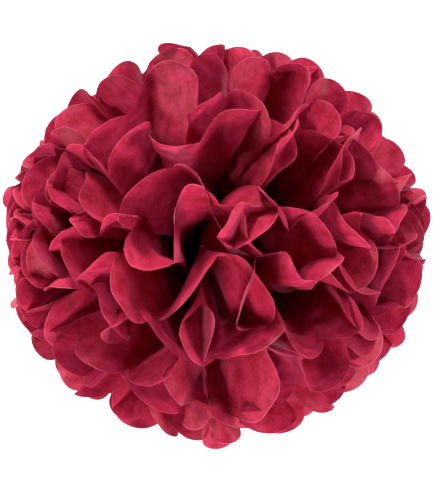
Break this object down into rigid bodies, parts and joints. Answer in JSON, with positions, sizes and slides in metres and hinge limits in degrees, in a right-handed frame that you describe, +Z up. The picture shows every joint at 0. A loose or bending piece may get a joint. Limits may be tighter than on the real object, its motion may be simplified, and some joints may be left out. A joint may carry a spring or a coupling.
{
  "type": "tissue paper pom pom",
  "caption": "Ball of deep red tissue paper petals: pleated sheets tied round the middle with a wire, fanned out and pulled apart up and down.",
  "frame": {"origin": "on the surface that the ball stands on, under the middle of the box round it", "axes": "+Z up, along the line from the middle of the lower petals to the middle of the crown; +X and -X point along the two slits between the fans, which the tie's loop passes through; +Y and -Y point along the middle of each fan"},
  "size_m": [0.2574, 0.2474, 0.2127],
  "materials": {
    "tissue": "matte thin dyed tissue paper, slightly see-through, faint cloudy fibres and fine crumples",
    "wire": "green enamelled binding wire, satin"
  },
  "bodies": {
    "root": {"upper_sheet_1": "tissue", "upper_sheet_2": "tissue", "upper_sheet_3": "tissue", "upper_sheet_4": "tissue", "upper_sheet_5": "tissue", "upper_sheet_6": "tissue", "lower_sheet_1": "tissue", "lower_sheet_2": "tissue", "lower_sheet_3": "tissue", "lower_sheet_4": "tissue", "lower_sheet_5": "tissue", "lower_sheet_6": "tissue", "wire_tie": "wire"}
  },
  "joints": []
}
